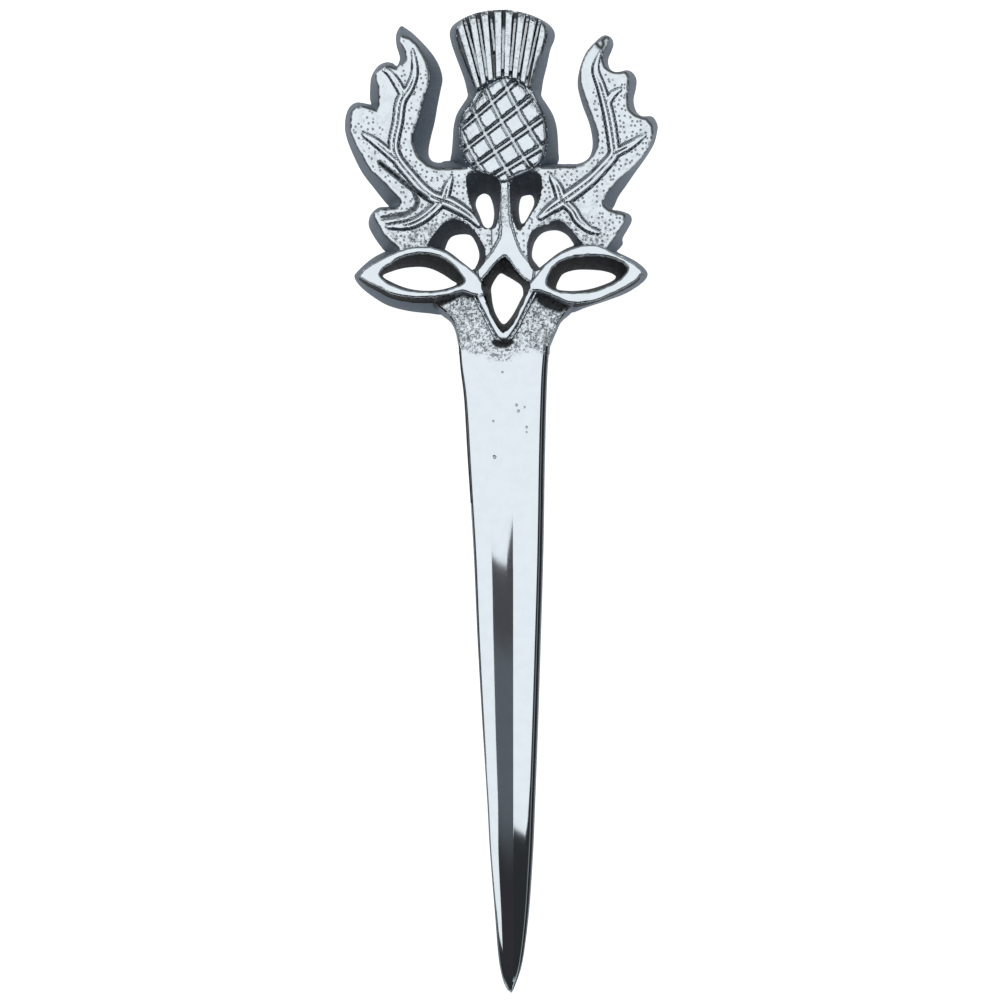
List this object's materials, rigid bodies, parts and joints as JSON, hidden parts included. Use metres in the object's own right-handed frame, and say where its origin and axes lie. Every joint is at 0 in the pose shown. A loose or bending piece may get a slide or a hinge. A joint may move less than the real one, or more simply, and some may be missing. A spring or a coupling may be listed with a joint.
{
  "type": "kilt pin",
  "caption": "Polished cast kilt pin: a thistle between lobed leaves over pierced loops and a long ridged blade, with a straight pin, hinge foot and catch behind.",
  "frame": {"origin": "middle of the pin's length and width, on the surface that it lies on", "axes": "+Z out of the ornamented front, +Y along the blade towards the thistle's top, +X to the right as seen from the front"},
  "size_m": [0.0313, 0.098, 0.0076],
  "materials": {
    "plated_casting": "polished",
    "steel_pin": "polished"
  },
  "bodies": {
    "root": {"casting": "plated_casting", "back_pin": "steel_pin"}
  },
  "joints": []
}
